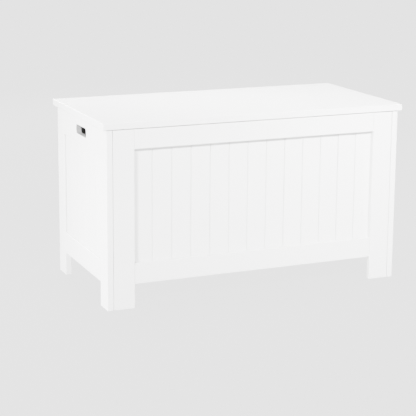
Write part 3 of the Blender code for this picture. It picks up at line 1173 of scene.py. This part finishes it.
@dataclass
class Lid:
    """The lid, one plain board with softly rounded edges."""

    ease: float = 1.1 * MM

    def build(self, pockets: Cutters) -> None:
        """Build the lid, with the screw holes in its underside."""
        PlainBoard("lid", Axis.X, self.ease, self.ease, WHITE, Body.LID).add(pockets)


@dataclass
class Bumpers:
    """The two soft bumpers on the front corners, each a low dome."""

    foot: float = 0.25 * MM
    top: float = 0.55

    def build(self) -> None:
        """Build both bumpers from their nodes' boxes."""
        for side in Side:
            node = f"{side.word}_bumper"
            low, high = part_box(node)
            radius = (high.x - low.x) / 2
            height = high.z - low.z
            profile = [(0.0, 0.0), (radius - self.foot / 2, 0.0), (radius, self.foot)]
            for spread, rise in dome(1.0, height - self.foot, 7):
                profile.append((radius * (self.top + (1 - self.top) * spread), self.foot + rise))
            profile += [(radius * 0.5, height), (0.0, height)]
            origin = Vector(((low.x + high.x) / 2, (low.y + high.y) / 2, low.z))
            add_piece(node, turned(profile, origin, UP), SOFT, Body.CARCASS, node)


# -------------------- sheet metal


@dataclass(frozen=True)
class Bend:
    """A stretch of a folded strip: straight if its angle is 0."""

    length: float
    angle: float = 0.0
    steps: int = 1


@dataclass
class FoldedSheet:
    """A flat blank, pierced and then folded or rolled along its length."""

    outline: Outline
    thick: float
    bends: list[Bend]
    holes: Cutters
    ease: float = 0.2 * MM

    def flat(self) -> Mesh:
        """The pierced blank before it is folded: length along X, width along Y."""
        half = self.thick / 2
        return plate(self.outline, Axis.Z, (-half, half), self.ease, self.holes)

    def folded(self, place: Matrix) -> Mesh:
        """Fold the blank and put it in place.

        Args:
            place: Takes the strip's plane (X along, Z normal) and its width (Y) to the object.

        Returns:
            The finished sheet.
        """
        shape = bmesh.new()
        shape.from_mesh(self.flat())
        start = 0.0
        for bend in self.bends:
            for step in range(bend.steps + 1):
                spot = Vector((start + bend.length * step / bend.steps, 0, 0))
                parts = [*shape.verts, *shape.edges, *shape.faces]
                bmesh.ops.bisect_plane(shape, geom=parts, plane_co=spot, plane_no=RIGHT)
            start += bend.length
        for vert in shape.verts:
            vert.co = place @ self.fold_point(vert.co)
        return close_mesh("sheet", shape)

    def fold_point(self, point: Vector) -> Vector:
        """Where a point of the blank lies after folding.

        Args:
            point: The point in the blank.

        Returns:
            The point on the folded sheet.
        """
        spot = Vector((0.0, 0.0))
        heading = 0.0
        left = point.x
        for number, bend in enumerate(self.bends):
            last = number == len(self.bends) - 1
            run = left if last else min(left, bend.length)
            if bend.angle == 0:
                spot += Vector((math.cos(heading), math.sin(heading))) * run
            else:
                curve = bend.angle / bend.length
                turn = heading + curve * run
                spot += Vector((math.sin(turn) - math.sin(heading), 0.0)) / curve
                spot += Vector((0.0, math.cos(heading) - math.cos(turn))) / curve
                heading = turn
            left -= run
            if left <= 0 and not last:
                break
        spot += Vector((-math.sin(heading), math.cos(heading))) * point.z
        return Vector((spot.x, point.y, spot.y))


@dataclass
class Hinge:
    """A butt hinge: two leaves rolled round a pin, two screws in each."""

    side: Side
    barrel: float = 3.5 * MM
    leaf: float = 1.2 * MM
    width: float = 22 * MM
    length: float = 60 * MM
    knuckles: int = 5
    roll: float = math.radians(318)
    corner: float = 3 * MM
    roll_steps: int = 28
    # The angles from the axis, in radians, of the facets of the pin's domes.
    dome_angles: tuple[float, ...] = (0.5, 0.9, 1.25, 1.5)

    def __post_init__(self) -> None:
        """Read the hinge's place from its leaves."""
        low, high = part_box(f"{self.side.word}_hinge_lower_leaf")
        self.middle = (low.x + high.x) / 2
        self.axis_y = low.y + self.barrel
        self.axis_z = low.z + self.width
        self.roll_radius = self.barrel - self.leaf / 2

    def screws(self) -> list[DrivenScrew]:
        """The four screws in their places."""
        stem = f"{self.side.word}_hinge"
        lower = (f"{stem}_lower_screw", -BACK, Body.CARCASS)
        return DrivenScrew.pairs(lower, (f"{stem}_upper_screw", UP, Body.LID))

    def blank(self, kept: tuple[int, ...]) -> Outline:
        """The outline of a leaf before it is rolled.

        Args:
            kept: The knuckles that belong to this leaf.

        Returns:
            (along, across) points, with the far edge at 0.
        """
        rolled = self.roll * self.roll_radius
        notch = self.width - self.barrel - GAP
        knuckle = self.length / self.knuckles
        line: Outline = [(0.0, self.length / 2), (0.0, -self.length / 2)]
        for i in range(self.knuckles):
            start = -self.length / 2 + i * knuckle
            inset_low = GAP / 2 if i else 0.0
            inset_high = GAP / 2 if i < self.knuckles - 1 else 0.0
            if i in kept:
                far = self.width + rolled
                line += [(far, start + inset_low), (far, start + knuckle - inset_high)]
            else:
                line += [(notch, start - inset_low), (notch, start + knuckle + inset_high)]
        return soften(line, [self.corner, self.corner] + [0.0] * (len(line) - 2), 6)

    def add_leaf(self, name: str, kept: tuple[int, ...], place: Matrix, body: Body) -> None:
        """Roll one leaf and put it in the scene.

        Args:
            name: The leaf's node.
            kept: Its knuckles.
            place: Takes the strip to its place.
            body: The body that it rides on.
        """
        holes = [screw.pocket_in(place) for screw in self.screws() if screw.body is body]
        bends = [Bend(self.width), Bend(self.roll * self.roll_radius, -self.roll, self.roll_steps)]
        sheet = FoldedSheet(self.blank(kept), self.leaf, bends, holes)
        add_piece(name, sheet.folded(place), PLATED, body, name, SHEET_CREASE)

    def build(self) -> None:
        """Build the leaves, the pin and the screws."""
        stem = f"{self.side.word}_hinge"
        # The strip runs up the back board, with its normal away from the barrel.
        origin = (self.middle, self.axis_y - self.roll_radius, self.axis_z - self.width)
        lower = framed(origin, UP, RIGHT, -BACK)
        self.add_leaf(f"{stem}_lower_leaf", (0, 2, 4), lower, Body.CARCASS)
        # The strip runs back under the lid, with its normal up.
        origin = (self.middle, self.axis_y - self.width, self.axis_z + self.roll_radius)
        self.add_leaf(f"{stem}_upper_leaf", (1, 3), framed(origin, BACK, RIGHT, UP), Body.LID)
        self.add_pin(f"{stem}_pin")
        for screw in self.screws():
            screw.add()

    def add_pin(self, node: str) -> None:
        """Put the pin in the scene, with a low dome on each end.

        Args:
            node: The pin's node.
        """
        low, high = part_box(node)
        head = (high.z - low.z) / 2
        far = high.x - low.x
        face = (far - self.length) / 2 - GAP
        half = [(0.0, 0.0)]
        half += [(head * math.sin(a), face * (1 - math.cos(a))) for a in self.dome_angles]
        half += [(head, face), (self.barrel - self.leaf - GAP, face)]
        profile = half + [(radius, far - distance) for radius, distance in reversed(half)]
        origin = Vector((low.x, self.axis_y, self.axis_z))
        add_piece(node, turned(profile, origin, RIGHT), PLATED, Body.CARCASS, node)


@dataclass
class Stay:
    """A folding stay: two riveted arms between a wall bracket and a lid bracket."""

    side: Side
    thick: float = 1.5 * MM
    arm: float = 12 * MM
    bore: float = 2.8 * MM
    rivet: float = 2.5 * MM
    head: float = 4.2 * MM
    head_length: float = 1.2 * MM
    ease: float = 0.3 * MM
    fold: float = 2.0 * MM
    # The arm's waist and the reach of its necks, in halves of its width.
    waist: float = 0.78
    neck: float = 2.2
    eye_steps: int = 16
    neck_steps: int = 4
    fold_steps: int = 8
    # How much of a rivet's head is its straight rim.
    head_rim: float = 0.25
    # The tab's rivet has a flatter head: its two rims, as shares of the full radius.
    flat_rim: float = 0.95
    flat_top: float = 0.7
    round_end: float = 7.9 * MM
    corner: float = 5 * MM
    free_corner: float = 3 * MM
    tab_end: float = 9 * MM

    def __post_init__(self) -> None:
        """Read the three pivots from the arms' boxes."""
        word = self.side.word
        self.reach = 2 * GAP + self.thick
        half = self.arm / 2
        low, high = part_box(f"{word}_stay_lower_arm")
        self.knee = Vector((low.y + half, low.z + half))
        self.wall = Vector((high.y - half, high.z - half))
        _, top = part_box(f"{word}_stay_upper_arm")
        self.lid = Vector((top.y - half, top.z - half))

    def layer(self, node: str) -> Point:
        """The low and high X of a flat piece, with its rivet's head left out."""
        low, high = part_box(node)
        if self.side is Side.RIGHT:
            return high.x - self.thick, high.x
        return low.x, low.x + self.thick

    def screws(self) -> list[DrivenScrew]:
        """The four screws in their places."""
        stem = f"{self.side.word}_stay"
        wall = (f"{stem}_wall_screw", RIGHT * self.side.value, Body.CARCASS)
        return DrivenScrew.pairs(wall, (f"{stem}_lid_screw", UP, Body.LID))

    def arm_outline(self, start: Vector, end: Vector) -> Outline:
        """An arm's outline: round eyes and a waist that is a little narrower.

        Args:
            start: One pivot, as Y and Z.
            end: The other pivot.

        Returns:
            The outline.
        """
        along = (end - start).normalized()
        half = self.arm / 2
        narrowing = half * (self.waist - 1)
        spots: list[Vector] = []
        for eye, other, way in ((end, start, along), (start, end, -along)):
            side = Vector((-way.y, way.x))
            neck = way * half * self.neck
            for step in range(self.eye_steps + 1):
                angle = math.pi * step / self.eye_steps - QUARTER
                spots.append(eye + (way * math.cos(angle) + side * math.sin(angle)) * half)
            shares = [step / self.neck_steps for step in range(self.neck_steps + 1)]
            for share in shares[1:]:
                ease = (1 - math.cos(math.pi * share)) / 2
                spots.append(eye - neck * share + side * (half + narrowing * ease))
            for share in shares[:-1]:
                ease = (1 + math.cos(math.pi * share)) / 2
                spots.append(other + neck * (1 - share) + side * (half + narrowing * ease))
        return [(spot.x, spot.y) for spot in spots]

    def add_plate(self, node: str, outline: Outline, holes: Cutters, body: Body) -> None:
        """Put one flat piece of the stay in the scene.

        Args:
            node: The piece's node.
            outline: Its outline, as Y and Z.
            holes: The cutters of its holes.
            body: The body that it rides on.
        """
        mesh = plate(outline, Axis.X, self.layer(node), self.ease, holes)
        add_piece(node, mesh, PLATED, body, node, SHEET_CREASE)

    def eye(self, spot: Vector, node: str) -> Mesh:
        """The cutter of a rivet's hole, at a pivot of a flat piece."""
        near, _ = self.layer(node)
        return turned(rod(self.bore, -self.thick, 2 * self.thick), Vector((near, *spot)), RIGHT)

    def rivet_foot(self) -> Outline:
        """A rivet's profile from the plate that it is fixed to up to its head's rim."""
        return [(0.0, 0.0), (self.rivet, 0.0), (self.rivet, self.reach), (self.head, self.reach)]

    def add_rivet(self, name: str, node: str, spot: Vector, body: Body) -> None:
        """Add a rivet that reaches inwards and holds the next layer.

        Args:
            name: The rivet's name.
            node: The plate that it is fixed to.
            spot: Its place, as Y and Z.
            body: The body that it rides on.
        """
        low, high = self.layer(node)
        rim = self.reach + self.head_rim * self.head_length
        profile = [*self.rivet_foot(), (self.head, rim)]
        height = (1 - self.head_rim) * self.head_length
        profile += [(radius, rim + rise) for radius, rise in dome(self.head, height, 6)]
        profile.append((0.0, self.reach + self.head_length))
        way = -self.side.value
        origin = Vector((high if way > 0 else low, *spot))
        add_piece(name, turned(profile, origin, RIGHT * way), PLATED, body)

    def build(self) -> None:
        """Build the brackets, the arms, the rivets and the screws."""
        word = self.side.word
        bracket = f"{word}_stay_wall_bracket"
        lower, upper = f"{word}_stay_lower_arm", f"{word}_stay_upper_arm"
        lower_body, upper_body = Body(f"{word}_lower_arm"), Body(f"{word}_upper_arm")
        screws = self.screws()
        low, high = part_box(bracket)
        corners = [(high.y, high.z), (low.y, high.z), (low.y, low.z), (high.y, low.z)]
        outline = soften(corners, [self.round_end, self.round_end, self.corner, self.corner], 8)
        holes = [screw.pocket() for screw in screws if screw.body is Body.CARCASS]
        self.add_plate(bracket, outline, holes, Body.CARCASS)
        holes = [self.eye(self.wall, lower)]
        self.add_plate(lower, self.arm_outline(self.wall, self.knee), holes, lower_body)
        holes = [self.eye(spot, upper) for spot in (self.knee, self.lid)]
        self.add_plate(upper, self.arm_outline(self.knee, self.lid), holes, upper_body)
        self.add_lid_bracket(f"{word}_stay_lid_bracket", screws)
        self.add_rivet(f"{word}_stay_wall_rivet", bracket, self.wall, Body.CARCASS)
        self.add_rivet(f"{word}_stay_knee_rivet", lower, self.knee, lower_body)
        for screw in screws:
            screw.add()

    def add_lid_bracket(self, node: str, screws: list[DrivenScrew]) -> None:
        """Fold the lid bracket and put it in the scene with its rivet.

        Args:
            node: The bracket's node.
            screws: The stay's screws, of which the lid's own pierce the bracket.
        """
        low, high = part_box(node)
        way = self.side.value
        half = self.thick / 2
        tab_far = self.tab_face(node)
        flange_end = low.x if way > 0 else high.x
        flange = abs(tab_far - flange_end) - self.fold - half
        drop = high.z - low.z - self.fold - half
        bend = self.fold * QUARTER
        total = flange + bend + drop
        wide = (high.y - low.y) / 2
        corners = [(0.0, wide), (0.0, -wide), (total, -wide), (total, wide)]
        outline = soften(corners, [self.free_corner] * 2 + [self.tab_end] * 2, 6)
        # The strip starts at the flange's free edge, runs to the tab and turns down.
        origin = (flange_end, (low.y + high.y) / 2, high.z - half)
        place = framed(origin, RIGHT * way, BACK, UP)
        holes = [screw.pocket_in(place) for screw in screws if screw.body is Body.LID]
        bends = [Bend(flange), Bend(bend, -QUARTER, self.fold_steps), Bend(drop)]
        sheet = FoldedSheet(outline, self.thick, bends, holes, self.ease)
        add_piece(node, sheet.folded(place), PLATED, Body.LID, node, SHEET_CREASE)
        self.add_tab_rivet(node, tab_far)

    def tab_face(self, node: str) -> float:
        """The X of the outer face of the lid bracket's tab, which its rivet reaches past."""
        low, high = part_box(node)
        past = self.reach + self.head_length
        return high.x - past if self.side is Side.RIGHT else low.x + past

    def add_tab_rivet(self, node: str, face: float) -> None:
        """Add the rivet between the tab and the upper arm.

        Args:
            node: The bracket's node.
            face: The X of the tab's outer face.
        """
        top = self.reach + self.head_length
        profile = [*self.rivet_foot(), (self.head * self.flat_rim, top - self.head_length / 2)]
        profile += [(self.head * self.flat_top, top), (0.0, top)]
        mesh = turned(profile, Vector((face, *self.lid)), RIGHT * self.side.value)
        add_piece(f"{node}_rivet", mesh, PLATED, Body.LID)


# -------------------- studio


@dataclass(frozen=True)
class SoftBox:
    """A wide soft light, aimed at the box."""

    name: str
    place: Triple
    width: float
    height: float
    power: float
    spread: float = 180.0
    aim: Triple = (0.0, 0.0, 0.23)

    def add(self) -> None:
        """Put the light in the scene."""
        lamp = bpy.data.lights.new(self.name, "AREA")
        lamp.shape = "RECTANGLE"
        lamp.size = self.width
        lamp.size_y = self.height
        lamp.energy = self.power
        lamp.spread = math.radians(self.spread)
        item = bpy.data.objects.new(self.name, lamp)
        item.location = self.place
        item.visible_camera = False
        way = Vector(self.aim) - Vector(self.place)
        item.rotation_euler = way.to_track_quat("-Z", "Y").to_euler()
        bpy.context.scene.collection.objects.link(item)


@dataclass(frozen=True)
class Viewpoint:
    """Where the box is seen from."""

    place: Triple = (-1.3938, -3.0935, 1.0037)
    heading: float = math.radians(23.47)
    tilt: float = math.radians(-11.91)
    roll: float = math.radians(0.41)
    lens: float = 114.90
    shift: float = -0.10
    far_limit: float = 400.0

    def add(self) -> None:
        """Put the camera in the scene."""
        level = math.cos(self.tilt)
        ahead = Vector((math.sin(self.heading) * level, math.cos(self.heading) * level, 0))
        ahead.z = math.sin(self.tilt)
        right = Vector((math.cos(self.heading), -math.sin(self.heading), 0))
        up = right.cross(ahead)
        turned_right = right * math.cos(self.roll) + up * math.sin(self.roll)
        turned_up = up * math.cos(self.roll) - right * math.sin(self.roll)
        camera = bpy.data.cameras.new("camera")
        camera.lens = self.lens
        camera.shift_y = self.shift
        camera.clip_end = self.far_limit
        item = bpy.data.objects.new("camera", camera)
        item.matrix_world = framed(self.place, turned_right, turned_up, -ahead)
        bpy.context.scene.collection.objects.link(item)
        bpy.context.scene.camera = item


@dataclass
class Studio:
    """A plain pale floor, an even sky and soft lights."""

    backdrop: float = 3.0
    sky: float = 0.5
    floor_tone: float = 0.02
    reach: float = 200.0
    lights: list[SoftBox] = field(default_factory=lambda: [
        SoftBox("front_left_light", (-2.9, -2.4, 2.05), 0.9, 0.35, 710.0),
        SoftBox("front_light", (0.3, -2.6, 2.0), 1.2, 0.3, 29.0, 60.0, (0.2, 0.0, 0.08)),
        SoftBox("near_light", (0.65, -1.8, 1.5), 0.7, 0.25, 11.5, 40.0, (0.45, 0.0, 0.36)),
        SoftBox("left_light", (-1.6, 0.1, 0.4), 0.6, 0.4, 17.5, 75.0, (-0.4, -0.36, 0.15)),
        SoftBox("top_light", (0.0, 0.3, 2.2), 1.2, 0.6, 112.0),
        SoftBox("lid_light", (0.1, 0.3, 1.6), 0.8, 0.4, 3.0, 40.0, (-0.1, 0.1, 0.46)),
        SoftBox("back_light", (-0.5, 2.9, 1.1), 1.4, 0.6, 430.0),
        SoftBox("right_light", (2.5, 0.5, 0.6), 0.8, 0.4, 170.0),
    ])

    def build(self) -> None:
        """Build the floor, the sky, the lights and the camera."""
        self.add_floor()
        self.add_sky()
        for light in self.lights:
            light.add()
        Viewpoint().add()

    def add_floor(self) -> None:
        """A large pale sheet that glows a little, so that shadows on it stay faint."""
        half = self.reach / 2
        shape = bmesh.new()
        corners = [(-half, -half), (half, -half), (half, half), (-half, half)]
        shape.faces.new([shape.verts.new((x, y, 0.0)) for x, y in corners])
        mesh = bpy.data.meshes.new("floor")
        shape.to_mesh(mesh)
        shape.free()
        book = NodeBook("pale_floor")
        tone = self.floor_tone
        book.surface(Base_Color=(tone, tone, tone, 1.0), Roughness=0.9, Specular_IOR_Level=0.0)
        book.surface(Emission_Color=(1.0, 1.0, 1.0, 1.0), Emission_Strength=self.backdrop)
        mesh.materials.append(book.material)
        item = bpy.data.objects.new("floor", mesh)
        bpy.context.scene.collection.objects.link(item)

    def add_sky(self) -> None:
        """An even sky, seen as pale as the floor but lighting the box only a little."""
        world = bpy.data.worlds.new("sky")
        bpy.context.scene.world = world
        world.use_nodes = True
        tree = world.node_tree
        shade = tree.nodes["Background"]
        shade.inputs["Color"].default_value = (1.0, 1.0, 1.0, 1.0)
        seen = tree.nodes.new("ShaderNodeLightPath")
        level = tree.nodes.new("ShaderNodeMapRange")
        level.inputs["To Min"].default_value = self.sky
        level.inputs["To Max"].default_value = self.backdrop
        tree.links.new(seen.outputs["Is Camera Ray"], level.inputs["Value"])
        tree.links.new(level.outputs["Result"], shade.inputs["Strength"])


def main() -> None:
    """Build the toy box piece by piece."""
    logging.basicConfig(level=logging.INFO, format="%(name)s: %(message)s")
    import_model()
    Studio().build()
    hinges = [Hinge(side) for side in Side]
    stays = [Stay(side) for side in Side]
    screws = [screw for owner in (*hinges, *stays) for screw in owner.screws()]
    lid_pockets = [screw.pocket() for screw in screws if screw.body is Body.LID]
    back_pockets = [screw.pocket() for screw in screws if screw.direction.y]
    for stay in stays:
        side = stay.side
        wall = [screw.pocket() for screw in stay.screws() if screw.direction.x]
        SideFrame(side).build(wall)
        LOG.info("%s side frame", side.word)
    FrontFrame().build()
    LOG.info("front frame")
    Inside().build(back_pockets)
    LOG.info("base, battens and back board")
    Lid().build(lid_pockets)
    LOG.info("lid")
    Bumpers().build()
    LOG.info("bumpers")
    for owner in (*hinges, *stays):
        owner.build()
        LOG.info("%s %s", owner.side.word, type(owner).__name__.lower())


if __name__ == "__main__":
    main()
